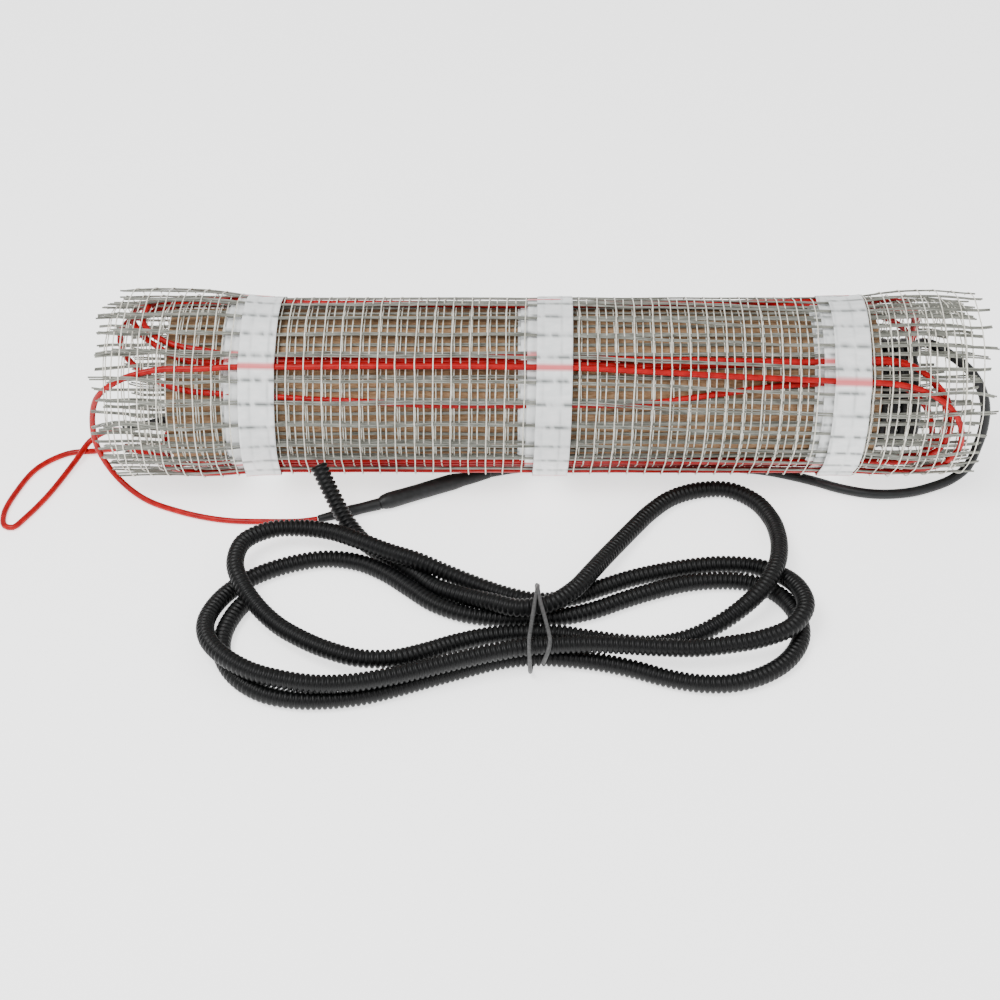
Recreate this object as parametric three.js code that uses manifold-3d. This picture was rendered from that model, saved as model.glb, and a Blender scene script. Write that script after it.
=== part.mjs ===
// Underfloor heating mat, rolled on a cardboard tube, with its leads and its coiled sensor conduit.
// Millimetres, +Z up. The roll lies along X and the origin is under its middle, on the floor.
import * as THREE from "three";
import { mergeVertices } from "three/addons/utils/BufferGeometryUtils.js";
import Module from "manifold-3d";

const wasm = await Module();
wasm.setup();

// Clearances
const seat = 0.3; // between pieces that touch
const channelGap = 0.3; // between a cable and the channel that the soft turns leave for it
const channelEndRoom = 1.5;
const hankSeat = 0.4; // between the hank and the roll that it reaches under

// Cardboard tube
const coreOuterRadius = 44;
const coreWall = 5.9;
const coreLength = 400;
const coreMiddle = -11.5; // the tube sits left of the roll's middle
const coreInnerRadius = coreOuterRadius - coreWall;

// Rolled mat
const turnCount = 3; // turns that show on an end
const turnGap = 0.8;
const matBuild = 5.3; // thickness of the wound turns between the flares
const flareBuild = 4.4; // how much the loose ends stand out beyond that
const endTuck = 6; // how far the loose edges fall in again past the flares' crests
const endBoreRadius = 41.5; // the loose turns close in a little past the cardboard tube
const endBoreStart = 6; // past each end of the tube, so that its faces stay free
const endBoreTaper = 12;
const matHalfLength = 245; // to the outermost edge thread at either end
const matShift = 12; // the inner turns lie this far left of the outer turn
const turnGrooveDepth = 8;
const boreRadius = coreOuterRadius + seat;
const matRadius = boreRadius + matBuild;
const flareRadius = matRadius + flareBuild;
const axisHeight = flareRadius; // the roll rests on its flared ends
const turnPitch = (flareRadius - endTuck - endBoreRadius + turnGap) / turnCount;
const turnThickness = turnPitch - turnGap;
const roundSides = 40;

// Tape bands round the roll
const tapeWidth = 20;
const tapeThickness = 0.65;
const tapePitch = 165;
const middleTapeX = 7.4;
const flareRoom = 2; // from an outer band to where its flare starts
const flareStart = tapePitch + tapeWidth / 2 + flareRoom; // measured from the middle band
const flareCrest = flareStart + 28; // and its widest place
const tuckLength = 35; // from there to where the edges have fallen in

// Heating cable under the outermost turn
const cableRadius = 1.75;
const cableProud = 0.45; // stands this far out of the wound solid
const cableRunEnd = 205; // where the straight runs begin to turn
const runBends = [10, 23, 38]; // points this far from there follow the flare
const cableTurnEnd = 222; // the furthest reach of a U-turn
const cableLeadStart = -209; // where the first run leaves the mat at the left
const cableSides = 8;

// Splice between the heating cable and the cold lead, both in heat shrink
const thinSleeveRadius = 3.5;
const thinSleeveTip = 2.4;
const thickSleeveRadius = 4.9;
const spliceTaperWidth = 3.9;
const spliceTaperTip = 3.2;

// Cold lead and its coil in the end of the cardboard tube
const leadRadius = 2.9;
const coilMeanRadius = 29;
const coilRightFace = 217;
const coilLength = 80;
const leadSides = 10;

// End seal on the tail of the heating cable
const endSealRadius = 2.5;
const endSealTip = 2;

// Sensor conduit, tied in a figure of eight
const conduitRadius = 5;
const hankHeight = 21.5; // two layers of conduit on the floor
const conduitSides = 12;

// Twist tie round the waist of the hank
const tieThickness = 1;
const tieWidth = 2.4;
const tieX = -4;

// The turned solids' finishes
const finishes = {
  cardboard: new THREE.MeshStandardMaterial({ color: 0x93765a, roughness: 0.95, metalness: 0 }),
  fibreglass: new THREE.MeshStandardMaterial({ color: 0xc9c6bb, roughness: 0.8, metalness: 0 }),
  tape: new THREE.MeshStandardMaterial({ color: 0xf2f4f3, roughness: 0.5, metalness: 0 }),
  redJacket: new THREE.MeshStandardMaterial({ color: 0xd10f16, roughness: 0.4, metalness: 0 }),
  blackJacket: new THREE.MeshStandardMaterial({ color: 0x1a1b1d, roughness: 0.5, metalness: 0 }),
  heatShrink: new THREE.MeshStandardMaterial({ color: 0x232425, roughness: 0.6, metalness: 0 }),
  conduit: new THREE.MeshStandardMaterial({ color: 0x161718, roughness: 0.45, metalness: 0 }),
  tie: new THREE.MeshStandardMaterial({ color: 0x6d6d6d, roughness: 0.6, metalness: 0 }),
};

const group = new THREE.Group();
const rollAxis = new THREE.Group();
rollAxis.position.z = axisHeight;
group.add(rollAxis);

function addMesh(name, geometry, finish, parent = group) {
  const mesh = new THREE.Mesh(geometry, finish);
  mesh.name = name;
  parent.add(mesh);
  return mesh;
}

// A closed geometry as a solid, and a solid as a geometry again.
function toSolid(geometry) {
  const bare = geometry.clone();
  bare.deleteAttribute("normal");
  bare.deleteAttribute("uv");
  const merged = mergeVertices(bare, 1e-4);
  return new wasm.Manifold(
    new wasm.Mesh({
      numProp: 3,
      vertProperties: merged.attributes.position.array,
      triVerts: new Uint32Array(merged.index.array),
    }),
  );
}

function toGeometry(solid) {
  const { vertProperties, triVerts } = solid.getMesh();
  const geometry = new THREE.BufferGeometry();
  geometry.setAttribute("position", new THREE.BufferAttribute(vertProperties, 3));
  geometry.setIndex(new THREE.BufferAttribute(triVerts, 1));
  geometry.computeVertexNormals();
  return geometry;
}

// A solid turned about X from a profile of [x, radius] pairs, centred on the roll's axis.
function turned(profile) {
  const points = profile.map(([x, radius]) => new THREE.Vector2(radius, x));
  return new THREE.LatheGeometry(points, roundSides).rotateZ(-Math.PI / 2);
}

// A closed ring about X, between two radii and two stations.
function ring(innerRadius, outerRadius, left, right) {
  return turned([
    [left, innerRadius],
    [left, outerRadius],
    [right, outerRadius],
    [right, innerRadius],
    [left, innerRadius],
  ]);
}

// A smooth curve whose steps follow its own points, so that straight stretches take few of them.
class StationCurve extends THREE.CatmullRomCurve3 {
  getUtoTmapping(station) {
    return station;
  }
}

function tube(points, radius, sides, stepsPerPoint) {
  const section = new THREE.Shape(
    Array.from({ length: sides }, (_, i) => {
      const angle = (i / sides) * 2 * Math.PI;
      return new THREE.Vector2(radius * Math.cos(angle), radius * Math.sin(angle));
    }),
  );
  const path = new StationCurve(points.map((p) => new THREE.Vector3(...p)), false, "centripetal");
  const steps = (points.length - 1) * stepsPerPoint;
  return new THREE.ExtrudeGeometry(section, { steps, extrudePath: path, bevelEnabled: false });
}

// A slightly bent round bar with its own radius at each station: [point, radius] pairs.
function steppedBar(stations, sides) {
  const centres = stations.map(([p]) => new THREE.Vector3(...p));
  const direction = centres.at(-1).clone().sub(centres[0]).normalize();
  const along = centres.map((centre) => centre.clone().sub(centres[0]).dot(direction));
  const profile = [
    new THREE.Vector2(0, along[0]),
    ...stations.map(([, radius], i) => new THREE.Vector2(radius, along[i])),
    new THREE.Vector2(0, along.at(-1)),
  ];
  const bar = new THREE.LatheGeometry(profile, sides);
  bar.applyQuaternion(new THREE.Quaternion().setFromUnitVectors(new THREE.Vector3(0, 1, 0), direction));
  const position = bar.getAttribute("position");
  for (let i = 0; i < position.count; i += 1) {
    const station = THREE.MathUtils.clamp((i % profile.length) - 1, 0, stations.length - 1);
    const bend = centres[station].clone().addScaledVector(direction, -along[station]);
    const place = new THREE.Vector3().fromBufferAttribute(position, i).add(bend);
    position.setXYZ(i, place.x, place.y, place.z);
  }
  return bar;
}

// The wound solid's outer radius at a station along the roll.
function rollRadius(x) {
  const fromTape = Math.abs(x - middleTapeX);
  const flare = THREE.MathUtils.smoothstep(fromTape, flareStart, flareCrest);
  const tuck = THREE.MathUtils.smoothstep(fromTape, flareCrest, flareCrest + tuckLength);
  return matRadius + flareBuild * flare - endTuck * tuck;
}

// Cardboard tube
const coreLeft = coreMiddle - coreLength / 2;
const coreRight = coreMiddle + coreLength / 2;
const coreTube = ring(coreInnerRadius, coreOuterRadius, coreLeft, coreRight);
addMesh("core_tube", coreTube, finishes.cardboard, rollAxis);

// Heating cable: straight runs across the mat, joined by U-turns near its edges.
// Each run is [angle at the left, angle at the right], in degrees up from the front.
const cableRuns = [
  [46, 37],
  [-36, -45],
  [-122, -129],
  [-207, -214],
];

function onRoll(x, degrees) {
  const radius = rollRadius(x) + cableProud - cableRadius;
  const angle = THREE.MathUtils.degToRad(degrees);
  return [x, -radius * Math.cos(angle), radius * Math.sin(angle)];
}

function cableRoute() {
  const points = [];
  const bends = runBends.map((fromEnd) => cableRunEnd - fromEnd);
  const runStations = [...bends.map((x) => -x), 0, ...bends.toReversed()];
  const turnShares = [0.02, 0.07, 0.15, 0.27, 0.42, 0.58, 0.73, 0.85, 0.93, 0.98];
  const reach = cableTurnEnd - cableRunEnd;
  cableRuns.forEach(([atLeft, atRight], i) => {
    const goesRight = i % 2 === 0;
    const side = goesRight ? 1 : -1;
    const from = goesRight ? atLeft : atRight;
    const to = goesRight ? atRight : atLeft;
    const start = i === 0 ? cableLeadStart : -side * cableRunEnd;
    const end = side * cableRunEnd;
    for (const x of [start, ...runStations.map((station) => side * station), end]) {
      points.push(onRoll(x, from + ((to - from) * (x - start)) / (end - start)));
    }
    const next = cableRuns[i + 1];
    if (!next) return;
    const nextAngle = goesRight ? next[1] : next[0];
    for (const share of turnShares) {
      const x = side * (cableRunEnd + reach * Math.sin(Math.PI * share) ** 0.5);
      points.push(onRoll(x, to + (nextAngle - to) * share));
    }
  });
  return points;
}
const cablePoints = cableRoute();
addMesh("heating_cable", tube(cablePoints, cableRadius, cableSides, 1), finishes.redJacket, rollAxis);

// Supply loop: the heating cable leaves the mat at the left and comes round to the front
const supplyLoopPoints = [
  [-209.9, -35.6, 90.9],
  [-219, -37, 90.2],
  [-233, -38, 86.1],
  [-248, -36, 74],
  [-255.5, -31, 55.5],
  [-257, -27, 29],
  [-249, -28.5, 9.5],
  [-232, -41, 2.6],
  [-209.5, -52.5, 2],
  [-183.5, -60, 1.9],
  [-157.5, -61.5, 1.9],
  [-139, -61.5, 2.2],
  [-129, -60.2, 2.7],
];
const supplyLoop = tube(supplyLoopPoints, cableRadius, cableSides, 3);
addMesh("supply_loop", supplyLoop, finishes.redJacket);

// Rolled mat: the wound turns as one solid, stepped where each turn ends
function matProfile() {
  const shiftShare = (turn) => (turn / (turnCount - 1)) ** 2;
  const turns = Array.from({ length: turnCount }, (_, turn) => turn);
  const left = turns.map((turn) => -matHalfLength + matShift * shiftShare(turn));
  const right = turns.map((turn) => matHalfLength - matShift * (1 - shiftShare(turn)));
  const grooveLeft = left[turnCount - 1] + turnGrooveDepth;
  const grooveRight = right[0] - turnGrooveDepth;
  const points = [];
  const inner = (turn) => endBoreRadius + turn * turnPitch;
  for (let turn = 0; turn < turnCount; turn += 1) {
    points.push([left[turn], inner(turn)], [left[turn], inner(turn) + turnThickness]);
    if (turn < turnCount - 1) {
      points.push([grooveLeft, inner(turn) + turnThickness], [grooveLeft, inner(turn + 1)]);
    }
  }
  const outerLeft = middleTapeX - flareStart;
  const outerRight = middleTapeX + flareStart;
  const flareStations = [0, 0.16, 0.32, 0.47, 0.62, 0.8];
  for (const share of flareStations.toReversed()) {
    const x = outerLeft + (left[turnCount - 1] - outerLeft) * share;
    points.push([x, rollRadius(x)]);
  }
  for (const share of flareStations) {
    const x = outerRight + (right[turnCount - 1] - outerRight) * share;
    points.push([x, rollRadius(x)]);
  }
  for (let turn = turnCount - 1; turn >= 0; turn -= 1) {
    points.push([right[turn], inner(turn) + turnThickness], [right[turn], inner(turn)]);
    if (turn > 0) {
      points.push([grooveRight, inner(turn)], [grooveRight, inner(turn - 1) + turnThickness]);
    }
  }
  // The bore is wider where it holds the cardboard tube.
  const taperLeft = coreLeft - endBoreStart;
  const taperRight = coreRight + endBoreStart;
  points.push([taperRight + endBoreTaper, endBoreRadius], [taperRight, boreRadius]);
  points.push([taperLeft, boreRadius], [taperLeft - endBoreTaper, endBoreRadius]);
  points.push(points[0]);
  return points;
}
const pastEnd = ([x, y, z]) => [x - channelEndRoom, y, z];
const channelPoints = [pastEnd(cablePoints[0]), ...cablePoints, pastEnd(cablePoints.at(-1))];
const cableChannel = tube(channelPoints, cableRadius + channelGap, cableSides, 1);
const supplyChannel = tube(supplyLoopPoints.slice(0, 5), cableRadius + channelGap, cableSides, 3);
supplyChannel.translate(0, 0, -axisHeight);
const woundMat = toSolid(turned(matProfile()))
  .subtract(toSolid(cableChannel))
  .subtract(toSolid(supplyChannel));
addMesh("mat_roll", toGeometry(woundMat), finishes.fibreglass, rollAxis);

// Cold lead: from the splice, under the roll, up round its right end and into the tube's coil
const coilCentreHeight = axisHeight - coreInnerRadius + seat + coilMeanRadius + leadRadius;
const coldLeadPoints = [
  [-30.5, -18.7, 3.3],
  [-14, -14.2, 3],
  [10, -13.4, 3],
  [60, -13.4, 3],
  [105, -13.4, 3],
  [130, -16, 3],
  [148, -21.5, 3],
  [161.5, -27, 3],
  [174, -33, 3],
  [192.5, -38, 3],
  [212.5, -37, 3],
  [229, -31.5, 3.3],
  [240, -27.3, 5.4],
  [249.4, -22, 10.5],
  [254.5, -16, 20],
  [257, -13, 32],
  [256.5, -11, 45],
  [253, -9, 56],
  [246, -5.5, 66.5],
  [235, 0, 74],
  [225, 8, 76.2],
  [220.3, 18.6, 70.3],
  [220.3, 25.1, 62.6],
];
const coldLeadChannel = tube(coldLeadPoints, leadRadius + channelGap, leadSides, 3);
addMesh("cold_lead", tube(coldLeadPoints, leadRadius, leadSides, 3), finishes.blackJacket);
const coil = ring(
  coilMeanRadius - leadRadius,
  coilMeanRadius + leadRadius,
  coilRightFace - coilLength,
  coilRightFace,
);
addMesh("cold_lead_coil", coil, finishes.blackJacket).position.z = coilCentreHeight;

// Tape bands: thin rings over the outermost turn and its cable
const tapeInnerRadius = matRadius + cableProud + seat;
["tape_left", "tape_middle", "tape_right"].forEach((name, i) => {
  const x = middleTapeX + (i - 1) * tapePitch;
  const band = ring(tapeInnerRadius, tapeInnerRadius + tapeThickness, x - tapeWidth / 2, x + tapeWidth / 2);
  // The cold lead passes under the middle band, which gives way to it.
  const passes = toSolid(band.translate(0, 0, axisHeight)).subtract(toSolid(coldLeadChannel));
  addMesh(name, toGeometry(passes), finishes.tape);
});

// Splice: a thin sleeve on the heating cable and a thick one that tapers on to the cold lead
const thinSleeve = steppedBar(
  [
    [[-128.6, -60, 2.7], thinSleeveTip],
    [[-113, -55, 3.6], thinSleeveRadius],
    [[-94.1, -48.9, 4.6], thinSleeveRadius],
  ],
  conduitSides,
);
addMesh("splice_sleeve_thin", thinSleeve, finishes.heatShrink);
const thickSleeve = steppedBar(
  [
    [[-93.1, -48.4, 5], thinSleeveRadius],
    [[-89, -46.5, 5], thickSleeveRadius],
    [[-53, -29.7, 5], thickSleeveRadius],
    [[-44, -25.3, 4.2], spliceTaperWidth],
    [[-31.3, -19.3, 3.4], spliceTaperTip],
  ],
  conduitSides,
);
addMesh("splice_sleeve_thick", thickSleeve, finishes.heatShrink);

// Tail of the heating cable: out of the left end, a loop on the floor and back into the bore
const tailLoopPoints = [
  [-246.2, -6, 12.4],
  [-255, -3.5, 9],
  [-267.5, 2, 3],
  [-283, 1, 2],
  [-298.5, -12.5, 1.9],
  [-307, -35.5, 1.9],
  [-310, -54.5, 1.9],
  [-307.5, -65, 1.9],
  [-302.5, -66.5, 1.9],
  [-297, -58, 1.9],
  [-287.5, -37.5, 2],
  [-276.5, -8, 4],
  [-270, 6, 7.5],
  [-262, 8.5, 12],
  [-255, 7, 15],
  [-250.4, 6, 15.8],
];
addMesh("tail_loop", tube(tailLoopPoints, cableRadius, cableSides, 4), finishes.redJacket);
const endSeal = steppedBar(
  [
    [[-249.4, 6.2, 16.1], endSealTip],
    [[-245, 7.4, 16.5], endSealRadius],
    [[-222, 13.8, 18.3], endSealRadius],
    [[-216, 15.5, 18.8], endSealTip],
  ],
  conduitSides,
);
addMesh("end_seal", endSeal, finishes.heatShrink);

// Sensor conduit: the hank's outline on the floor, with the openings of its loops
const hankOutline = [
  [0, -182],
  [28, -184],
  [66, -196.5],
  [86, -199.5],
  [112, -194],
  [130, -180],
  [141, -160],
  [145, -140],
  [138, -112],
  [137, -80],
  [131, -53],
  [116, -34],
  [96, -30.5],
  [76, -37],
  [58, -53],
  [36, -88],
  [18, -117],
  [6, -127],
  [-13, -126],
  [-55, -108],
  [-86, -92.5],
  [-108, -79],
  [-124, -70],
  [-146, -65.5],
  [-166, -77],
  [-175, -104],
  [-184, -134],
  [-187, -155],
  [-180, -180],
  [-160, -200],
  [-128, -210.5],
  [-95, -208],
  [-64, -197],
  [-30, -184],
];
const hankOpenings = [
  [[36, -112], [56, -72], [80, -48], [97, -41], [113, -45], [123, -60], [125, -97], [97, -97], [66, -101]],
  [[48, -141], [66, -128], [88, -121.5], [103, -124], [106, -132], [98, -142], [80, -152], [60, -158]],
  [[-136, -106], [-117, -104], [-98, -108], [-76, -124], [-53, -143], [-60, -165], [-80, -176.5],
    [-100, -177], [-120, -167], [-140, -150], [-153, -128]],
  [[-160, -94], [-148, -80], [-136, -78], [-116, -87], [-130, -92]],
  [[-161, -160], [-148, -168], [-132, -179], [-114, -189], [-128, -195.5], [-146, -189], [-158, -178]],
];

function smoothLoop(points) {
  const first = points[0];
  const curve = new THREE.SplineCurve([...points, first].map(([x, y]) => new THREE.Vector2(x, y)));
  return curve.getPoints(points.length * 2).slice(0, -1);
}
const hankShape = new THREE.Shape(smoothLoop(hankOutline));
hankShape.holes = hankOpenings.map((opening) => new THREE.Path(smoothLoop(opening)));
const hankBlock = new THREE.ExtrudeGeometry(hankShape, { depth: hankHeight, bevelEnabled: false });
// The loop that reaches under the roll's side stays clear of it, and the tie passes beneath the waist.
const rollClearance = turned([
  [-matHalfLength, 0],
  [-matHalfLength, matRadius + cableProud + hankSeat],
  [matHalfLength, matRadius + cableProud + hankSeat],
  [matHalfLength, 0],
]);
rollClearance.translate(0, 0, axisHeight);
const waistBack = -122;
const waistFront = -187;
const waistDepth = waistBack - waistFront;
const waistMiddle = (waistBack + waistFront) / 2;
const tieSlot = new THREE.BoxGeometry(tieWidth + 2 * seat, waistDepth, 2 * (tieThickness + seat));
tieSlot.translate(tieX, waistMiddle, 0);
const hank = toSolid(hankBlock).subtract(toSolid(rollClearance)).subtract(toSolid(tieSlot));
addMesh("sensor_conduit_hank", toGeometry(hank), finishes.conduit);

// The conduit's free end comes out from under the hank and leans on the roll
const conduitEndPoints = [
  [-127, -54.2, 37.5],
  [-122.5, -59, 28],
  [-117.5, -63.5, 18.5],
  [-112.5, -68.5, 12],
  [-109.2, -72.2, 8.9],
];
const conduitEnd = tube(conduitEndPoints, conduitRadius, conduitSides, 1);
addMesh("sensor_conduit_end", conduitEnd, finishes.conduit);

// Twist tie: a flat band round the waist
const tieOutline = new THREE.Shape([
  new THREE.Vector2(waistFront, 0),
  new THREE.Vector2(waistBack, 0),
  new THREE.Vector2(waistBack, hankHeight + seat + tieThickness),
  new THREE.Vector2(waistFront, hankHeight + seat + tieThickness),
]);
tieOutline.holes = [
  new THREE.Path([
    new THREE.Vector2(waistFront + tieThickness, tieThickness),
    new THREE.Vector2(waistBack - tieThickness, tieThickness),
    new THREE.Vector2(waistBack - tieThickness, hankHeight + seat),
    new THREE.Vector2(waistFront + tieThickness, hankHeight + seat),
  ]),
];
const tieBand = new THREE.ExtrudeGeometry(tieOutline, { depth: tieWidth, bevelEnabled: false });
tieBand.rotateX(Math.PI / 2).rotateZ(Math.PI / 2);
tieBand.translate(tieX - tieWidth / 2, 0, 0);
addMesh("twist_tie", tieBand, finishes.tie);

export default group;
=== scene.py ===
"""Underfloor heating mat: the looks of the wound mesh, its cables, its tapes and its conduit."""

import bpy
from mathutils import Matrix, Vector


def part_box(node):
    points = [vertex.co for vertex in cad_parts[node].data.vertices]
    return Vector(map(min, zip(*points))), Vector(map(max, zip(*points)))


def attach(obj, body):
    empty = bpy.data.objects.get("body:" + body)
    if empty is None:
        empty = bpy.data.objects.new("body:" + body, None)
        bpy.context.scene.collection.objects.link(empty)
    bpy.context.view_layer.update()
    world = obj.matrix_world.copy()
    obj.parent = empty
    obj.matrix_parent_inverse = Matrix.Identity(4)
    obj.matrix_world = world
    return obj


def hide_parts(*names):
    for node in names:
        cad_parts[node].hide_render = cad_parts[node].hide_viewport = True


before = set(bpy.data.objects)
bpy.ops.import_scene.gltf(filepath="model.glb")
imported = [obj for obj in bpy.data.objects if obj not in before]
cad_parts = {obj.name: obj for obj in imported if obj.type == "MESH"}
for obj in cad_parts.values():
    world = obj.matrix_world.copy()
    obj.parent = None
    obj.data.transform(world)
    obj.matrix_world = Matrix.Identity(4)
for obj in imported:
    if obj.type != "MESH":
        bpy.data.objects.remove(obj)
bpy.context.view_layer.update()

import math
import random

import bpy
from mathutils import Vector, noise

MM = 0.001

# Camera at the height and tilt of the picture
camera_data = bpy.data.cameras.new("camera")
camera_data.lens = 66.4
camera_data.sensor_width = 36
camera = bpy.data.objects.new("camera", camera_data)
camera.location = (-0.0245, -0.8628, 0.6905)
camera.rotation_euler = (math.radians(50), 0, 0)
bpy.context.scene.collection.objects.link(camera)
bpy.context.scene.camera = camera


# Materials

def linear(hex_colour):
    """The linear colour of an sRGB hex value."""
    channels = [int(hex_colour[i:i + 2], 16) / 255 for i in (1, 3, 5)]
    return [c / 12.92 if c <= 0.04045 else ((c + 0.055) / 1.055) ** 2.4 for c in channels] + [1]


def add_node(tree, kind, links=(), **settings):
    """A node with its settings, and its inputs set to values or linked to other nodes' outputs."""
    node = tree.nodes.new(kind)
    for name, value in settings.items():
        setattr(node, name, value)
    for name, value in dict(links).items():
        if isinstance(value, bpy.types.NodeSocket):
            tree.links.new(value, node.inputs[name])
        else:
            node.inputs[name].default_value = value
    return node


def new_material(name, **surface):
    """A material, its node tree and its shader, with the shader's fixed values."""
    material = bpy.data.materials.new(name)
    material.use_nodes = True
    tree = material.node_tree
    shader = tree.nodes["Principled BSDF"]
    for socket, value in surface.items():
        shader.inputs[socket.replace("_", " ")].default_value = value
    return material, tree, shader


def set_ramp(ramp, stops):
    """Gives a colour ramp its stops: (place, hex colour)."""
    elements = ramp.color_ramp.elements
    while len(elements) < len(stops):
        elements.new(0.5)
    for element, (place, colour) in zip(elements, stops):
        element.position = place
        element.color = linear(colour)


def object_noise(tree, scale, detail=3, stretch=(1, 1, 1)):
    """Noise on object coordinates; scale is in cycles a metre, stretch divides it by axis."""
    place = add_node(tree, "ShaderNodeTexCoord")
    mapping = add_node(tree, "ShaderNodeMapping", {"Vector": place.outputs["Object"], "Scale": stretch})
    return add_node(
        tree, "ShaderNodeTexNoise", {"Vector": mapping.outputs[0], "Scale": scale, "Detail": detail}
    )


ROUGHNESS_SPREAD = 0.07


def plastic(name, dark, light, roughness, grain_mm, bump_mm, specular):
    """A plastic with a faint mottle between two tones and a fine uneven skin."""
    material, tree, shader = new_material(name, Specular_IOR_Level=specular)
    grain = object_noise(tree, 1 / (grain_mm * MM))
    tone = add_node(tree, "ShaderNodeValToRGB", {"Fac": grain.outputs["Fac"]})
    set_ramp(tone, [(0.35, dark), (0.65, light)])
    sheen = add_node(
        tree, "ShaderNodeMapRange",
        {
            "Value": grain.outputs["Fac"],
            "To Min": roughness - ROUGHNESS_SPREAD,
            "To Max": roughness + ROUGHNESS_SPREAD,
        },
    )
    bump = add_node(
        tree, "ShaderNodeBump",
        {"Height": grain.outputs["Fac"], "Distance": bump_mm * MM, "Strength": 0.6},
    )
    tree.links.new(tone.outputs["Color"], shader.inputs["Base Color"])
    tree.links.new(sheen.outputs["Result"], shader.inputs["Roughness"])
    tree.links.new(bump.outputs["Normal"], shader.inputs["Normal"])
    return material


# Fluoropolymer jacket, extruded: an even red with a soft gloss
red_jacket = plastic("fluoropolymer_extruded_red", "#8c0003", "#aa0105", 0.38, 4, 0.02, 0.22)
# PVC jacket, extruded: near black with a satin skin
black_jacket = plastic("pvc_extruded_black", "#0c0d0e", "#161819", 0.42, 6, 0.05, 0.3)
# Cross-linked polyolefin, shrunk on with heat: black, duller than the lead
heat_shrink = plastic("polyolefin_heat_shrunk", "#0e0f10", "#191a1b", 0.5, 3, 0.08, 0.3)
# Polyamide, moulded in a corrugator: black with a soft gloss on each ring
conduit_black = plastic("polyamide_corrugated", "#040405", "#0a0b0b", 0.42, 2, 0.03, 0.22)
# PVC over wire: dark grey
tie_grey = plastic("pvc_coated_wire_grey", "#424242", "#555555", 0.55, 1.5, 0.03, 0.3)


def kraft_board():
    """Kraft board, spiral wound and glued: brown, with fibres and faint blotches."""
    material, tree, shader = new_material("kraft_board_spiral_wound", Specular_IOR_Level=0.25)
    fibres = object_noise(tree, 900, 4, (0.25, 1, 1))
    tone = add_node(tree, "ShaderNodeValToRGB", {"Fac": fibres.outputs["Fac"]})
    set_ramp(tone, [(0.3, "#7b6044"), (0.5, "#927357"), (0.72, "#a98a69")])
    blotches = object_noise(tree, 40, 2)
    shade = add_node(
        tree, "ShaderNodeMapRange",
        {"Value": blotches.outputs["Fac"], "To Min": 0.82, "To Max": 1.12},
    )
    mixed = add_node(
        tree, "ShaderNodeVectorMath",
        {0: tone.outputs["Color"], 1: shade.outputs["Result"]}, operation="MULTIPLY",
    )
    bump = add_node(
        tree, "ShaderNodeBump",
        {"Height": fibres.outputs["Fac"], "Distance": 0.15 * MM, "Strength": 0.5},
    )
    tree.links.new(mixed.outputs[0], shader.inputs["Base Color"])
    shader.inputs["Roughness"].default_value = 0.92
    tree.links.new(bump.outputs["Normal"], shader.inputs["Normal"])
    return material


def glass_thread(name, dark, light, roughness):
    """Glass fibre in resin: pale strands with streaks along them and a dull shine."""
    material, tree, shader = new_material(name, Specular_IOR_Level=0.55)
    streaks = object_noise(tree, 420, 3, (0.3, 1, 1))
    tone = add_node(tree, "ShaderNodeValToRGB", {"Fac": streaks.outputs["Fac"]})
    set_ramp(tone, [(0.32, dark), (0.68, light)])
    bump = add_node(
        tree, "ShaderNodeBump",
        {"Height": streaks.outputs["Fac"], "Distance": 0.15 * MM, "Strength": 0.7},
    )
    tree.links.new(tone.outputs["Color"], shader.inputs["Base Color"])
    shader.inputs["Roughness"].default_value = roughness
    tree.links.new(bump.outputs["Normal"], shader.inputs["Normal"])
    return material


cardboard = kraft_board()
grey_strands = glass_thread("glass_roving_grey", "#5b5c54", "#8e8f86", 0.5)
cream_threads = glass_thread("glass_yarn_cream", "#d6d2c2", "#f6f4ea", 0.45)


def film_tape():
    """Polypropylene film, cast: milky white, pink over the red cable, and grey over a strand: the strand
    seen through the film plus painted crease shade.
    """
    material, tree, shader = new_material("polypropylene_film_tape", Specular_IOR_Level=0.45)
    strands = add_node(tree, "ShaderNodeAttribute", attribute_name="strand_and_shade_under")
    cable = add_node(tree, "ShaderNodeAttribute", attribute_name="cable_under")
    mottle = object_noise(tree, 260, 4, (0.5, 1, 1))
    milk = add_node(tree, "ShaderNodeValToRGB", {"Fac": mottle.outputs["Fac"]})
    set_ramp(milk, [(0.3, "#e3e6e6"), (0.7, "#f4f5f5")])
    # Grey mark from the strand attribute: partly the strand seen through the film, partly painted shade
    # along the film's creases
    greyed_and_shaded = add_node(
        tree, "ShaderNodeMix",
        {0: strands.outputs["Fac"], 6: milk.outputs["Color"], 7: linear("#5c6260")}, data_type="RGBA",
    )
    reddened = add_node(
        tree, "ShaderNodeMix",
        {0: cable.outputs["Fac"], 6: greyed_and_shaded.outputs[2], 7: linear("#d9686c")}, data_type="RGBA",
    )
    tree.links.new(reddened.outputs[2], shader.inputs["Base Color"])
    shader.inputs["Roughness"].default_value = 0.38
    return material


white_tape = film_tape()


# Modelling

def metres(points):
    return [Vector(p) for p in points]


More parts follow.
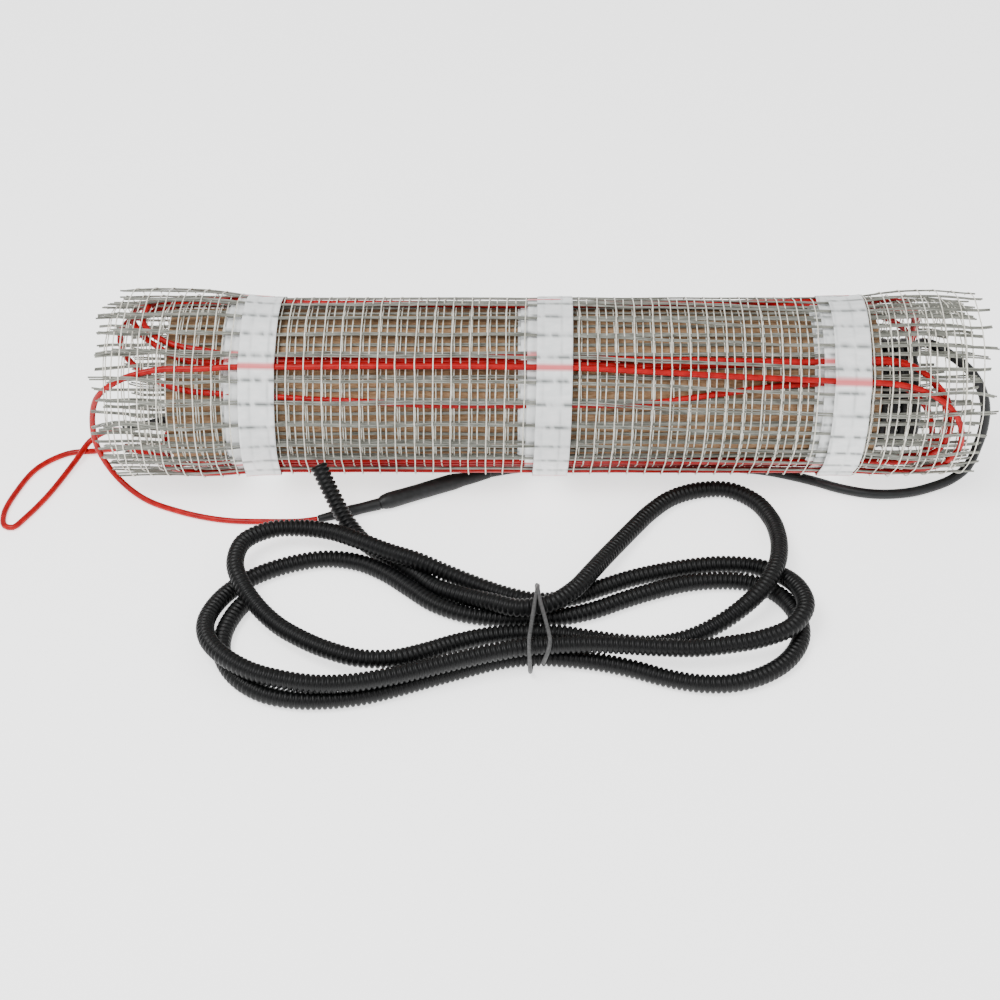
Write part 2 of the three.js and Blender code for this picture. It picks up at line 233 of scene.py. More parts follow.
def smooth_line(points, spacing):
    """A smooth line through the points, with its own points about spacing apart."""
    points = metres(points)
    ends = [2 * points[0] - points[1], *points, 2 * points[-1] - points[-2]]
    line = []
    for before, start, end, after in zip(ends, ends[1:], ends[2:], ends[3:]):
        gap_before, gap, gap_after = (
            math.sqrt((b - a).length) for a, b in ((before, start), (start, end), (end, after))
        )
        across = (end - start) / gap
        leaving = across + (start - before) / gap_before - (end - before) / (gap_before + gap)
        arriving = across + (after - end) / gap_after - (after - start) / (gap + gap_after)
        leaving *= gap
        arriving *= gap
        steps = max(1, round((end - start).length / spacing))
        for i in range(steps):
            t = i / steps
            line.append(
                start * (2 * t**3 - 3 * t**2 + 1) + leaving * (t**3 - 2 * t**2 + t)
                + end * (3 * t**2 - 2 * t**3) + arriving * (t**3 - t**2)
            )
    return [*line, points[-1]]


def evenly(line, spacing):
    """The same line with its points exactly spacing apart; what is left at its end is dropped."""
    result, left = [line[0]], spacing
    for start, end in zip(line, line[1:]):
        reach = (end - start).length
        while left <= reach:
            start = start.lerp(end, left / reach)
            reach -= left
            left = spacing
            result.append(start)
        left -= reach
    return result


def line_length(line):
    return sum((b - a).length for a, b in zip(line, line[1:]))


def cord_curve(name, lines, radius, finish, ring_steps=3, widths=None):
    """Round bars along lines, as one curve; widths gives each point's share of the radius."""
    data = bpy.data.curves.new(name, "CURVE")
    data.dimensions = "3D"
    data.bevel_depth = radius
    data.bevel_resolution = ring_steps
    data.use_fill_caps = True
    for line in lines:
        spline = data.splines.new("POLY")
        spline.points.add(len(line) - 1)
        spline.points.foreach_set("co", [c for p in line for c in (*p, 1)])
        if widths:
            spline.points.foreach_set("radius", widths)
        spline.use_smooth = True
    data.materials.append(finish)
    piece = bpy.data.objects.new(name, data)
    bpy.context.scene.collection.objects.link(piece)
    return piece


def as_mesh(piece):
    """Turns a curve piece into a mesh piece."""
    bpy.ops.object.select_all(action="DESELECT")
    piece.select_set(True)
    bpy.context.view_layer.objects.active = piece
    bpy.ops.object.convert(target="MESH")
    return bpy.context.view_layer.objects.active


def belongs(piece, slot, *nodes):
    """The piece rides on the mat and stands for nodes, whose parts it hides; slot is not used."""
    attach(piece, "root")
    if nodes:
        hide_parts(*nodes)


def smoothstep(value, low, high):
    share = min(1, max(0, (value - low) / (high - low)))
    return share * share * (3 - 2 * share)


# Cords: the same routes as their solids, in metres

SUPPLY_LOOP = [
    (-0.2099, -0.0356, 0.0909), (-0.219, -0.037, 0.0902), (-0.233, -0.038, 0.0861),
    (-0.248, -0.036, 0.074), (-0.2555, -0.031, 0.0555), (-0.257, -0.027, 0.029),
    (-0.249, -0.0285, 0.0095), (-0.232, -0.041, 0.0026), (-0.2095, -0.0525, 0.002),
    (-0.1835, -0.06, 0.0019), (-0.1575, -0.0615, 0.0019), (-0.139, -0.0615, 0.0022),
    (-0.129, -0.0602, 0.0027),
]

COLD_LEAD = [
    (-0.0305, -0.0187, 0.0033), (-0.014, -0.0142, 0.003), (0.01, -0.0134, 0.003),
    (0.06, -0.0134, 0.003), (0.105, -0.0134, 0.003), (0.13, -0.016, 0.003), (0.148, -0.0215, 0.003),
    (0.1615, -0.027, 0.003), (0.174, -0.033, 0.003), (0.1925, -0.038, 0.003),
    (0.2125, -0.037, 0.003), (0.229, -0.0315, 0.0033), (0.24, -0.0273, 0.0054),
    (0.2494, -0.022, 0.0105), (0.2545, -0.016, 0.02), (0.257, -0.013, 0.032),
    (0.2565, -0.011, 0.045), (0.253, -0.009, 0.056), (0.246, -0.0055, 0.0665), (0.235, 0, 0.074),
    (0.225, 0.008, 0.0762), (0.2203, 0.0186, 0.0703), (0.2203, 0.0251, 0.0626),
]

TAIL_LOOP = [
    (-0.2462, -0.006, 0.0124), (-0.255, -0.0035, 0.009), (-0.2675, 0.002, 0.003),
    (-0.283, 0.001, 0.002), (-0.2985, -0.0125, 0.0019), (-0.307, -0.0355, 0.0019),
    (-0.31, -0.0545, 0.0019), (-0.3075, -0.065, 0.0019), (-0.3025, -0.0665, 0.0019),
    (-0.297, -0.058, 0.0019), (-0.2875, -0.0375, 0.002), (-0.2765, -0.008, 0.004),
    (-0.27, 0.006, 0.0075), (-0.262, 0.0085, 0.012), (-0.255, 0.007, 0.015),
    (-0.2504, 0.006, 0.0158),
]

CONDUIT = [
    (-0.127, -0.054, 0.0375), (-0.1195, -0.0625, 0.0235), (-0.111, -0.0725, 0.0115),
    (-0.0995, -0.0845, 0.005), (-0.086, -0.096, 0.005), (-0.0725, -0.108, 0.005),
    (-0.06, -0.121, 0.006), (-0.0455, -0.131, 0.009), (-0.0305, -0.14, 0.013),
    (-0.0145, -0.148, 0.016), (0.0025, -0.145, 0.0165), (0.0155, -0.133, 0.0155),
    (0.025, -0.1175, 0.0135), (0.033, -0.102, 0.01), (0.042, -0.0865, 0.0075),
    (0.0515, -0.0715, 0.006), (0.062, -0.0565, 0.005), (0.075, -0.044, 0.005),
    (0.0915, -0.037, 0.005), (0.109, -0.037, 0.005), (0.123, -0.0475, 0.005),
    (0.13, -0.0635, 0.006), (0.1315, -0.0815, 0.0095), (0.13, -0.099, 0.0135),
    (0.126, -0.116, 0.017), (0.118, -0.132, 0.017), (0.106, -0.1455, 0.015),
    (0.0915, -0.1545, 0.01), (0.075, -0.161, 0.006), (0.0575, -0.1645, 0.005),
    (0.04, -0.1635, 0.005), (0.022, -0.1605, 0.0055), (0.0045, -0.1575, 0.006),
    (-0.0135, -0.157, 0.006), (-0.0315, -0.16, 0.0065), (-0.048, -0.1665, 0.008),
    (-0.0635, -0.1755, 0.0105), (-0.0795, -0.183, 0.013), (-0.097, -0.184, 0.014),
    (-0.114, -0.1775, 0.0135), (-0.129, -0.168, 0.0125), (-0.143, -0.1565, 0.012),
    (-0.155, -0.1435, 0.014), (-0.1645, -0.128, 0.016), (-0.1695, -0.111, 0.0155),
    (-0.1665, -0.0935, 0.015), (-0.153, -0.0825, 0.014), (-0.1355, -0.0805, 0.0135),
    (-0.118, -0.085, 0.0145), (-0.1025, -0.0935, 0.0155), (-0.086, -0.1015, 0.0145),
    (-0.0695, -0.1085, 0.014), (-0.053, -0.1145, 0.01), (-0.0365, -0.1215, 0.0075),
    (-0.02, -0.1285, 0.0065), (-0.0025, -0.1325, 0.006), (0.0145, -0.1285, 0.0055),
    (0.031, -0.1205, 0.005), (0.0475, -0.113, 0.005), (0.0645, -0.1075, 0.005),
    (0.082, -0.1035, 0.005), (0.1, -0.1015, 0.005), (0.1175, -0.1035, 0.005),
    (0.131, -0.1145, 0.008), (0.1375, -0.1305, 0.013), (0.138, -0.148, 0.016),
    (0.1285, -0.1625, 0.0155), (0.1125, -0.17, 0.0145), (0.095, -0.1745, 0.0145),
    (0.077, -0.177, 0.0145), (0.059, -0.1775, 0.0155), (0.041, -0.1765, 0.016),
    (0.023, -0.176, 0.0165), (0.005, -0.1765, 0.0165), (-0.013, -0.1785, 0.0165),
    (-0.0305, -0.1825, 0.016), (-0.0475, -0.1875, 0.0155), (-0.065, -0.193, 0.015),
    (-0.082, -0.1985, 0.015), (-0.0995, -0.2025, 0.015), (-0.1175, -0.203, 0.0145),
    (-0.135, -0.2, 0.0145), (-0.152, -0.194, 0.0145), (-0.167, -0.184, 0.015),
    (-0.1775, -0.1695, 0.013), (-0.181, -0.1525, 0.01), (-0.177, -0.1355, 0.008),
    (-0.168, -0.12, 0.006), (-0.1545, -0.108, 0.005), (-0.138, -0.1005, 0.005),
    (-0.1205, -0.097, 0.005), (-0.103, -0.1, 0.005), (-0.0875, -0.109, 0.005),
    (-0.074, -0.121, 0.005), (-0.0605, -0.133, 0.005), (-0.0445, -0.141, 0.005),
    (-0.027, -0.1445, 0.005), (-0.0085, -0.1455, 0.006), (0.009, -0.1445, 0.006),
    (0.026, -0.1385, 0.005), (0.0425, -0.1305, 0.005), (0.0585, -0.1235, 0.005),
    (0.076, -0.1175, 0.005), (0.0935, -0.115, 0.005), (0.1115, -0.1165, 0.005),
    (0.1265, -0.1255, 0.005), (0.135, -0.141, 0.005), (0.1355, -0.159, 0.005),
    (0.1275, -0.175, 0.005), (0.114, -0.1865, 0.005), (0.097, -0.193, 0.005),
    (0.0795, -0.1935, 0.005), (0.062, -0.1895, 0.005), (0.045, -0.183, 0.005),
    (0.0275, -0.1785, 0.0055), (0.0095, -0.176, 0.006), (-0.008, -0.175, 0.006),
    (-0.026, -0.1775, 0.0055), (-0.043, -0.183, 0.005), (-0.06, -0.1895, 0.005),
    (-0.0765, -0.196, 0.005), (-0.094, -0.202, 0.005), (-0.1115, -0.205, 0.005),
    (-0.1295, -0.205, 0.005), (-0.1465, -0.2005, 0.005), (-0.161, -0.1895, 0.005),
    (-0.17, -0.174, 0.005), (-0.1715, -0.1565, 0.005), (-0.1665, -0.139, 0.005),
    (-0.1605, -0.129, 0.005),
]

# Red heating cable from the mat to the splice
CABLE_RADIUS = 1.75 * MM
supply_line = smooth_line(SUPPLY_LOOP, 3 * MM)
supply = cord_curve("supply_loop_cable", [supply_line], CABLE_RADIUS, red_jacket, 4)
belongs(supply, "red_jacket", "supply_loop")


SLEEVE_UNEVENNESS = 0.02


def sleeve(name, stations, node):
    """A heat shrink sleeve: (point, radius) stations, with smooth shoulders between them."""
    line = smooth_line([p for p, _ in stations], 1.2 * MM)
    run, reach = [0], line_length(line)
    for a, b in zip(line, line[1:]):
        run.append(run[-1] + (b - a).length)
    marks = [0]
    for (a, _), (b, _) in zip(stations, stations[1:]):
        marks.append(marks[-1] + (Vector(b) - Vector(a)).length)
    widest = max(r for _, r in stations)
    widths = []
    for along in run:
        at = along / reach * marks[-1]
        i = max(k for k in range(len(marks) - 1) if marks[k] <= at + 1e-9)
        share = smoothstep(at, marks[i], marks[i + 1])
        radius = stations[i][1] + (stations[i + 1][1] - stations[i][1]) * share
        radius *= 1 + SLEEVE_UNEVENNESS * noise.noise(Vector((along * 150, widest * 1000, 0)))
        widths.append(radius / widest)
    piece = cord_curve(name, [line], widest, heat_shrink, 6, widths)
    belongs(piece, "heat_shrink", node)
    return piece


thin_sleeve = sleeve(
    "splice_sleeve_on_cable",
    [
        ((-0.1286, -0.0600, 0.0027), 0.0021), ((-0.1262, -0.0592, 0.0028), 0.0024),
        ((-0.1190, -0.0569, 0.0032), 0.0027), ((-0.1130, -0.0550, 0.0036), 0.0035),
        ((-0.1040, -0.0521, 0.0041), 0.0033), ((-0.0941, -0.0489, 0.0046), 0.0035),
    ],
    "splice_sleeve_thin",
)
thick_sleeve = sleeve(
    "splice_sleeve_on_lead",
    [
        ((-0.0939, -0.0488, 0.0047), 0.0034), ((-0.0912, -0.0475, 0.0050), 0.0044),
        ((-0.0880, -0.0460, 0.0050), 0.0049), ((-0.0700, -0.0377, 0.0050), 0.0047),
        ((-0.0530, -0.0297, 0.0050), 0.0049), ((-0.0440, -0.0253, 0.0042), 0.0039),
        ((-0.0313, -0.0193, 0.0034), 0.0032),
    ],
    "splice_sleeve_thick",
)

# Black cold lead: under the roll, up round its right end and coiled in the tube
LEAD_RADIUS = 2.9 * MM
LEAD_LENGTH = 3.0
COIL_RADIUS = 29 * MM
COIL_HEIGHT = 48.1 * MM
COIL_START = 220.3 * MM
COIL_FIRST_TURN = 213.8 * MM
COIL_STEP = 6.05 * MM
COIL_POINTS_A_TURN = 36


def lead_line():
    """The lead's route, then turns side by side until it has its length."""
    route = smooth_line(COLD_LEAD, 4 * MM)
    left = LEAD_LENGTH - line_length(route)
    turns = left / math.hypot(2 * math.pi * COIL_RADIUS, COIL_STEP)
    start = math.degrees(math.atan2(COLD_LEAD[-1][2] - COIL_HEIGHT, COLD_LEAD[-1][1]))
    coil = []
    for i in range(1, round(turns * COIL_POINTS_A_TURN) + 1):
        turn = i / COIL_POINTS_A_TURN
        angle = math.radians(start) - 2 * math.pi * turn
        settled = smoothstep(turn, 0, 0.5)
        x = COIL_START + (COIL_FIRST_TURN - COIL_START) * settled - COIL_STEP * max(0, turn - 0.25)
        y = COIL_RADIUS * math.cos(angle)
        z = COIL_HEIGHT + COIL_RADIUS * math.sin(angle)
        coil.append(Vector((x, y, z)))
    return route + coil


lead_points = lead_line()
lead = cord_curve("cold_lead_cable", [lead_points], LEAD_RADIUS, black_jacket, 5)
belongs(lead, "black_jacket", "cold_lead", "cold_lead_coil")

# Red tail of the heating cable and its end seal
tail_line = smooth_line(TAIL_LOOP, 3 * MM)
tail = cord_curve("tail_loop_cable", [tail_line], CABLE_RADIUS, red_jacket, 4)
belongs(tail, "red_jacket", "tail_loop")
end_cap = sleeve(
    "tail_end_seal",
    [
        ((-0.2494, 0.0062, 0.0161), 0.0020), ((-0.2475, 0.0067, 0.0162), 0.0024),
        ((-0.2450, 0.0074, 0.0165), 0.0025), ((-0.2330, 0.0106, 0.0174), 0.0024),
        ((-0.2220, 0.0138, 0.0183), 0.0025), ((-0.2175, 0.0150, 0.0187), 0.0022),
        ((-0.2160, 0.0155, 0.0188), 0.0016),
    ],
    "end_seal",
)

# Corrugated conduit for the floor sensor, tied in a figure of eight
CONDUIT_RADIUS = 5 * MM
RING_PITCH = 2.8 * MM
RING_PROFILE = (0.74, 0.94, 1.0, 1.0, 0.94)


def conduit_piece():
    line = evenly(smooth_line(CONDUIT, 2 * MM), RING_PITCH / len(RING_PROFILE))
    widths = [RING_PROFILE[i % len(RING_PROFILE)] for i in range(len(line))]
    return cord_curve("sensor_conduit", [line], CONDUIT_RADIUS, conduit_black, 6, widths)


conduit = conduit_piece()
belongs(conduit, "conduit", "sensor_conduit_hank", "sensor_conduit_end")

# Twist tie: two strands from one twist, round the waist of the hank
TIE_RADIUS = 1.1 * MM
TIE_STRANDS = [
    [
        (-0.0048, -0.1310, 0.0160), (-0.0048, -0.1402, 0.0216), (-0.0060, -0.1496, 0.0222),
        (-0.0078, -0.1643, 0.0222), (-0.0095, -0.1798, 0.0222), (-0.0094, -0.1855, 0.0195),
        (-0.0091, -0.1870, 0.0120), (-0.0086, -0.1830, 0.0030), (-0.0060, -0.1560, 0.0020),
        (-0.0045, -0.1285, 0.0030), (-0.0044, -0.1255, 0.0090), (-0.0046, -0.1290, 0.0150),
    ],
    [
        (-0.0040, -0.1310, 0.0165), (-0.0042, -0.1402, 0.0220), (-0.0029, -0.1519, 0.0228),
        (-0.0005, -0.1659, 0.0228), (0.0013, -0.1805, 0.0226), (0.0001, -0.1860, 0.0205),
        (-0.0024, -0.1880, 0.0140),
    ],
]
tie = cord_curve(
    "conduit_twist_tie", [smooth_line(strand, 2 * MM) for strand in TIE_STRANDS], TIE_RADIUS, tie_grey, 2
)
belongs(tie, "tie", "twist_tie")

# The roll: a cardboard tube, the wound mesh, the cable between its turns and the tape bands
AXIS_HEIGHT = 54 * MM
MIDDLE_TAPE = 7.4 * MM
TURNS = 3.58
OUTER_END = 140  # degrees up from the front, over the top, where the mat's outer end lies
INNER_RADIUS = 44.8 * MM
OUTER_RADIUS = 51.1 * MM
MAT_HALF_WIDTH = 239 * MM
MAT_SHIFT = 12  # millimetres that the inner turns lie left of the outer turn
THREAD_PITCH = 10.17 * MM
THREAD_RADIUS = 0.36 * MM
STRAND_PITCH = 13.25 * MM
ROVING_RADIUS = 0.5 * MM
FIRST_STRAND = 11  # degrees wound back from the outer end
FLARE_START, FLARE_CREST, TUCK_START, TUCK_END = (mm * MM for mm in (160, 204, 214, 246))
DIP = 10.5  # degrees that the outer turn's strands fall toward the right end
CABLE_BULGE = 2.5 * MM  # how far a cable lifts the outer turn
BULGE_WIDTH = 6  # degrees
END_DROP = 1.3 * MM  # how much closer the outer end lies to the turn under it
END_DROP_REACH = 60  # degrees
FLOOR_CLEAR = 0.6 * MM

# The cable's runs, outermost first: places (millimetres along the roll, degrees wound back)
CABLE_RUNS = [
    [(-190, 93), (-113, 92), (-13, 92), (86, 93), (190, 94)],
    [(-190, 186), (190, 186)],
    [(-190, 275), (190, 272)],
    [(-190, 372), (-145, 388), (-16, 394), (100, 390), (190, 375)],
    [(-190, 440), (-173, 443), (-24, 444), (98, 446), (190, 447)],
    [(-190, 533), (0, 534), (190, 538)],
    [(-190, 620), (190, 622)],
    [(-190, 705), (190, 708)],
    [(-190, 808), (-63, 807), (-24, 808), (53, 811), (87, 811), (190, 806)],
    [(-190, 900), (190, 898)],
    [(-190, 995), (190, 990)],
    [(-190, 1096), (-113, 1099), (-16, 1106), (190, 1108)],
    [(-190, 1189), (-140, 1193), (-60, 1198), (53, 1198), (87, 1192), (131, 1184), (190, 1182)],
    [(-190, 1272), (190, 1274)],
]
OUTER_RUNS = CABLE_RUNS[:4]
# How far along the roll each U-turn reaches, in millimetres
TURN_REACHES = [234.5, -222, 224, -226, 228, -223, 223, -233, 225, -225, 221, -238, 219]
CABLE_RUN_END = 190
HALF_RUN_STEPS = 12
U_TURN_STEPS = 20
# The way out from the last run's left end to the tail loop
TAIL_WAY = [(-206, 1276), (-222, 1284), (-234, 1293)]


def run_wound(run, x):
    """Degrees wound back of a cable run at a place along the roll, in millimetres."""
    for (x0, wound0), (x1, wound1) in zip(run, run[1:]):
        if x <= x1:
            break
    share = min(1, max(0, (x - x0) / (x1 - x0)))
    return wound0 + (wound1 - wound0) * share


def share_left(wound):
    """How much of the mat still lies inside this place: 1 at its outer end, 0 at its inner end."""
    return 1 - wound / (360 * TURNS)


def bare_radius(wound):
    """The mesh's radius without its flares, ripples and bulges."""
    left = share_left(wound)
    return INNER_RADIUS + (OUTER_RADIUS - INNER_RADIUS) * left * abs(left)


def turn_shift(wound):
    """How far right of the roll's middle a turn lies, in millimetres."""
    left = share_left(wound)
    return MAT_SHIFT * left * abs(left) - MAT_SHIFT / 2


def wound_place(across, wound, lift=0.0):
    """A place on the mesh: across from its middle, and degrees wound back from its outer end."""
    left = share_left(wound)
    x = across + turn_shift(wound) * MM
    from_tape = abs(x - MIDDLE_TAPE)
    flare = smoothstep(from_tape, FLARE_START, FLARE_CREST)
    tuck = smoothstep(from_tape, TUCK_START, TUCK_END)
    loose = smoothstep(from_tape, FLARE_START, TUCK_END)
    radius = bare_radius(wound) + lift
    radius -= END_DROP * (1 - smoothstep(wound, 0, END_DROP_REACH)) * (1 - flare)
    if x < 0:
        radius += (0.8 + 2.7 * left) * MM * flare - 1.6 * (1 - left) * MM * tuck
    else:
        radius += (0.8 + 1.9 * left) * MM * flare - (1.4 + 0.8 * left) * MM * tuck
    for run in OUTER_RUNS:
        from_run = (wound - run_wound(run, x / MM)) / BULGE_WIDTH
        radius += CABLE_BULGE * math.exp(-(from_run**2)) * (1 - loose)
    dip = DIP * smoothstep(x, -30 * MM, 200 * MM) * max(0, 1 - wound / 500)
    angle = math.radians(OUTER_END - wound - dip)
    ripple = Vector((x * 28, wound / 34, 0))
    radius += (0.3 + 1.6 * loose) * MM * noise.noise(ripple)
    angle += math.radians(0.5 + 3.0 * loose) * noise.noise(ripple + Vector((7, 0, 5)))
    y, z = -radius * math.cos(angle), AXIS_HEIGHT + radius * math.sin(angle)
    return Vector((x, y, max(z, FLOOR_CLEAR)))


def wound_line(stations):
    return [wound_place(*station) for station in stations]


# Cardboard tube, cut square, with its edges a little worn
CORE_WALL = 5.9 * MM
CORE_EDGE_WEAR = 0.5 * MM


def core_piece():
    bpy.ops.object.select_all(action="DESELECT")
    low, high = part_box("core_tube")
    bpy.ops.mesh.primitive_cylinder_add(
        vertices=128, radius=(high.z - low.z) / 2, depth=high.x - low.x, end_fill_type="NOTHING",
        location=(low + high) / 2, rotation=(0, math.pi / 2, 0),
    )
    bpy.ops.object.transform_apply(location=True, rotation=True, scale=True)
    core = bpy.context.object
    core.name = "cardboard_core"
    wall = core.modifiers.new("wall", "SOLIDIFY")
    wall.thickness = CORE_WALL
    wall.offset = -1
    worn = core.modifiers.new("worn_edges", "BEVEL")
    worn.width = CORE_EDGE_WEAR
    worn.segments = 2
    worn.limit_method = "ANGLE"
    bpy.ops.object.modifier_apply(modifier="wall")
    bpy.ops.object.modifier_apply(modifier="worn_edges")
    bpy.ops.object.shade_smooth_by_angle(angle=math.radians(35))
    core.data.materials.append(cardboard)
    return core


belongs(core_piece(), "cardboard", "core_tube")


def strand_wounds():
    """Where the long strands lie: evenly spaced along the mesh, in degrees wound back."""
    wound, wounds = FIRST_STRAND, []
    while wound < 360 * TURNS:
        wounds.append(wound)
        wound += math.degrees(STRAND_PITCH / bare_radius(wound))
    return wounds


STRANDS = strand_wounds()


def from_strand(wound):
    """Degrees to the nearest long strand."""
    return min(abs(wound - place) for place in STRANDS)


# Cross threads: fine cream yarns round the roll, the whole length of the mat
random.seed(11)
THREAD_COUNT = round(2 * MAT_HALF_WIDTH / THREAD_PITCH) + 1
WOUND_STEP = 3.75  # degrees between stations round the roll
OUTER_STOP = 390  # degrees: the outer turn and a little more
THREAD_PLACES = [
    -MAT_HALF_WIDTH + 2 * MAT_HALF_WIDTH * i / (THREAD_COUNT - 1) + random.uniform(-0.35, 0.35) * MM
    for i in range(THREAD_COUNT)
]


def cross_thread(across, start, stop, phase):
    """A yarn that rises over each strand bundle and sinks between them."""
    stations = []
    for i in range(round((stop - start) / WOUND_STEP) + 1):
        wound = start + i * WOUND_STEP
        over = math.exp(-((from_strand(wound) / 3.5) ** 2))
        sway = 0.55 * MM * noise.noise(Vector((wound / 25, across * 300, phase)))
        stations.append((across + sway, wound, (0.3 + 0.4 * over) * MM))
    return wound_line(stations)


outer_threads = [cross_thread(x, 0, OUTER_STOP, 0) for x in THREAD_PLACES]
inner_threads = [cross_thread(x, OUTER_STOP, 360 * TURNS, 3) for x in THREAD_PLACES]


SHORTEST_FRINGE, LONGEST_FRINGE = 3 * MM, 9 * MM
STRAND_STEPS = 76


# Long strands: flat grey bundles of two rovings, with loose ends past the edge threads
def strand_lines(wounds):
    """Both rovings of each strand, from fringe to fringe."""
    lines = []
    for wound in wounds:
        wound += random.uniform(-0.9, 0.9)
        fringe_left, fringe_right = (random.uniform(SHORTEST_FRINGE, LONGEST_FRINGE) for _ in range(2))
        drift = random.uniform(-2.5, 2.5)
        spread = random.uniform(0.42, 0.62)
        for side in (-1, 1):
            stations = []
            reach_left = MAT_HALF_WIDTH + fringe_left + random.uniform(-1, 1) * MM
            reach_right = MAT_HALF_WIDTH + fringe_right + random.uniform(-1, 1) * MM
            for i in range(STRAND_STEPS + 1):
                across = -reach_left + (reach_left + reach_right) * i / STRAND_STEPS
                sway = 1.1 * noise.noise(Vector((across * 22, wound / 9, 2)))
                open_up = 1 + 0.5 * noise.noise(Vector((across * 60, wound / 6, 9)))
                apart = side * spread * open_up * 360 * MM / (2 * math.pi * OUTER_RADIUS)
                lift = 0.12 * MM * noise.noise(Vector((across * 90, wound, side)))
                past = max(0, abs(across) - MAT_HALF_WIDTH) / LONGEST_FRINGE
                stations.append((across, wound + sway + apart + drift * past, lift))
            lines.append(wound_line(stations))
    return lines


outer_strands = strand_lines([wound for wound in STRANDS if wound < OUTER_STOP])
inner_strands = strand_lines([wound for wound in STRANDS if wound >= OUTER_STOP])

for name, lines, radius, finish, ring_steps in (
    ("mesh_outer_cross_threads", outer_threads, THREAD_RADIUS, cream_threads, 0),
    ("mesh_inner_cross_threads", inner_threads, THREAD_RADIUS, cream_threads, 0),
    ("mesh_outer_strands", outer_strands, ROVING_RADIUS, grey_strands, 1),
    ("mesh_inner_strands", inner_strands, ROVING_RADIUS, grey_strands, 1),
):
    piece = as_mesh(cord_curve(name, lines, radius, finish, ring_steps))
    belongs(piece, "glass_mesh", "mat_roll")


# Heating cable: one length that runs from edge to edge, turn after turn, outermost run first
CABLE_DEPTH = 2.35  # millimetres from the mesh to the cable's middle
CORE_MIDDLE = -11.5  # where the cardboard tube's middle lies along the roll
CORE_CLEAR = 45.9  # the cable's closest to the roll's axis beside the tube
CORE_PAST_DROP = 4.5  # how much closer it comes past the tube's ends
CABLE_LOWEST = 2.2 * MM


def cable_place(x, wound):
    """A point of the cable's middle, under the mesh and clear of the tube; x is in millimetres."""
    on_mesh = wound_place((x - turn_shift(wound)) * MM, wound)
    off_axis = Vector((0, on_mesh.y, on_mesh.z - AXIS_HEIGHT))
    past_core = smoothstep(abs(x - CORE_MIDDLE), 203, 215)
    radius = max(off_axis.length - CABLE_DEPTH * MM, (CORE_CLEAR - CORE_PAST_DROP * past_core) * MM)
    place = Vector((x * MM, 0, AXIS_HEIGHT)) + off_axis.normalized() * radius
    place.z = max(place.z, CABLE_LOWEST)
    return place


def cable_line():
    """The cable from the supply loop's start through all its runs and turns to the tail loop's start."""
    points = [Vector(SUPPLY_LOOP[0])]
    for i, run in enumerate(CABLE_RUNS):
        side = 1 if i % 2 == 0 else -1
        for k in range(2 * HALF_RUN_STEPS + 1):
            x = side * CABLE_RUN_END * (k / HALF_RUN_STEPS - 1)
            sway = 0.6 * noise.noise(Vector((x * 0.009, i * 5.3, 1)))
            points.append(cable_place(x, run_wound(run, x) + sway))
        if i + 1 == len(CABLE_RUNS):
            continue
        end = run_wound(run, side * CABLE_RUN_END)
        onward = run_wound(CABLE_RUNS[i + 1], side * CABLE_RUN_END)
        reach = TURN_REACHES[i] - side * CABLE_RUN_END
        for k in range(1, U_TURN_STEPS):
            bend = math.pi * k / U_TURN_STEPS
            x = side * CABLE_RUN_END + reach * math.sin(bend)
            points.append(cable_place(x, (end + onward - (onward - end) * math.cos(bend)) / 2))
    points += [cable_place(x, wound) for x, wound in TAIL_WAY]
    return smooth_line([*points, Vector(TAIL_LOOP[0])], 5 * MM)


mat_cable = as_mesh(cord_curve("heating_cable_in_mat", [cable_line()], CABLE_RADIUS, red_jacket, 3))
belongs(mat_cable, "red_jacket", "heating_cable")

# Tape bands: white film stuck along the mat before it was wound, so each goes round with every turn
TAPE_HALF_WIDTH = 10 * MM
TAPE_PITCH = 165 * MM
TAPE_ACROSS_STEPS = 16
TAPE_LIFT = 0.95 * MM
TAPE_CREASE = 0.12 * MM  # how far the film rises over a strand or a thread
FILM_THICKNESS = 0.12 * MM
MM_A_DEGREE = 0.885  # along the outer turn
STRAND_MARK = 1.35  # degrees
THREAD_MARK = 0.6 * MM


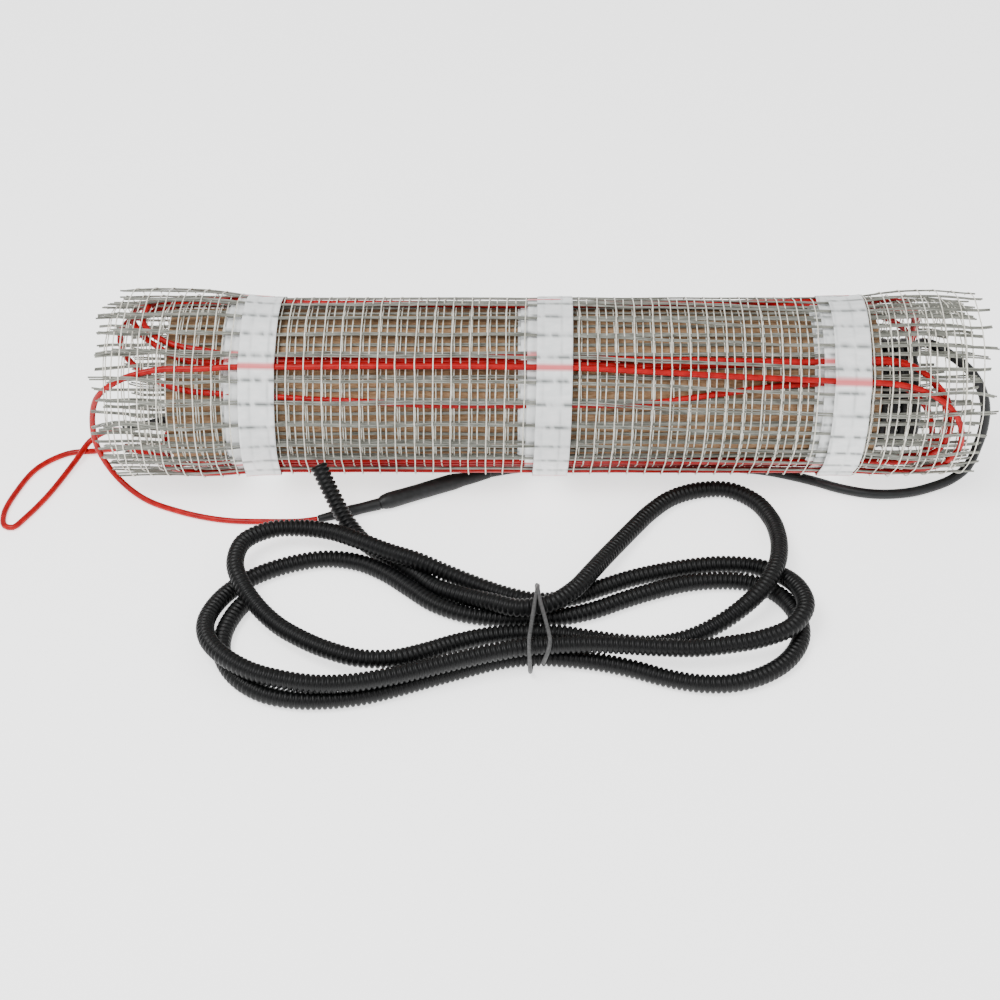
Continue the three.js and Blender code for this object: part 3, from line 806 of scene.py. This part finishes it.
def film_band(name, centre, node):
    """A film band wound with the mesh, with the marks of the strands and the cable under it; the grey
    strand marks are partly painted crease shade.
    """
    across_middle = centre - MAT_SHIFT / 2 * MM
    columns = round(360 * TURNS / WOUND_STEP * 2)
    rows = TAPE_ACROSS_STEPS + 1
    places, strands, cables = [], [], []
    for i in range(columns + 1):
        wound = i * WOUND_STEP / 2
        over_strand = math.exp(-((from_strand(wound) / STRAND_MARK) ** 2))
        near = min(abs(wound - run_wound(run, centre / MM)) for run in CABLE_RUNS)
        over_cable = 1 - smoothstep(near * MM_A_DEGREE, 1.5, 2.1)
        for j in range(rows):
            across = across_middle + TAPE_HALF_WIDTH * (2 * j / (rows - 1) - 1)
            to_thread = min(abs(across - x) for x in THREAD_PLACES)
            over_thread = math.exp(-((to_thread / THREAD_MARK) ** 2))
            lift = TAPE_LIFT + TAPE_CREASE * (over_strand + over_thread)
            places.append(wound_place(across, wound, lift))
            patchy = 0.75 + 1.6 * noise.noise(Vector((across * 330, wound / 15, 4)))
            # Grey mark: the strand seen through the film plus painted crease shade; its 0.35 share over
            # the cream threads is painted shade only
            strands.append(max(over_strand, 0.35 * over_thread) * min(1, max(0.2, patchy)))
            cables.append(over_cable)
    faces = [
        (i * rows + j, i * rows + j + 1, (i + 1) * rows + j + 1, (i + 1) * rows + j)
        for i in range(columns) for j in range(rows - 1)
    ]
    data = bpy.data.meshes.new(name)
    data.from_pydata(places, [], faces)
    for label, values in (("strand_and_shade_under", strands), ("cable_under", cables)):
        data.attributes.new(label, "FLOAT", "POINT").data.foreach_set("value", values)
    band = bpy.data.objects.new(name, data)
    bpy.context.scene.collection.objects.link(band)
    bpy.ops.object.select_all(action="DESELECT")
    band.select_set(True)
    bpy.context.view_layer.objects.active = band
    film = band.modifiers.new("film", "SOLIDIFY")
    film.thickness = FILM_THICKNESS
    bpy.ops.object.modifier_apply(modifier="film")
    bpy.ops.object.shade_smooth()
    data.materials.append(white_tape)
    belongs(band, "tape", node)


film_band("film_band_left", MIDDLE_TAPE - TAPE_PITCH, "tape_left")
film_band("film_band_middle", MIDDLE_TAPE, "tape_middle")
film_band("film_band_right", MIDDLE_TAPE + TAPE_PITCH, "tape_right")


# Floor and light
bpy.ops.object.select_all(action="DESELECT")
bpy.ops.mesh.primitive_plane_add(size=12)
floor = bpy.context.object
floor.name = "studio_floor"
floor_paint, _, floor_shader = new_material("studio_floor_white", Roughness=0.7)
floor_shader.inputs["Base Color"].default_value = linear("#fbfbfb")
floor_shader.inputs["Emission Color"].default_value = linear("#ffffff")
floor_shader.inputs["Emission Strength"].default_value = 1.5
floor.data.materials.append(floor_paint)

world = bpy.data.worlds.new("studio_air")
world.use_nodes = True
world.node_tree.nodes["Background"].inputs["Color"].default_value = (1, 1, 1, 1)
world.node_tree.nodes["Background"].inputs["Strength"].default_value = 0.85
bpy.context.scene.world = world


def soft_light(name, place, aim, size, power):
    data = bpy.data.lights.new(name, "AREA")
    data.shape = "RECTANGLE"
    data.size, data.size_y = size
    data.energy = power
    light = bpy.data.objects.new(name, data)
    light.location = place
    light.rotation_euler = (Vector(aim) - Vector(place)).to_track_quat("-Z", "Y").to_euler()
    bpy.context.scene.collection.objects.link(light)


soft_light("key_light", (-0.5, -0.5, 1.3), (0, -0.05, 0.03), (0.8, 0.6), 20)
soft_light("fill_light", (0.9, -0.9, 0.9), (0, -0.05, 0.03), (1.0, 1.0), 5)
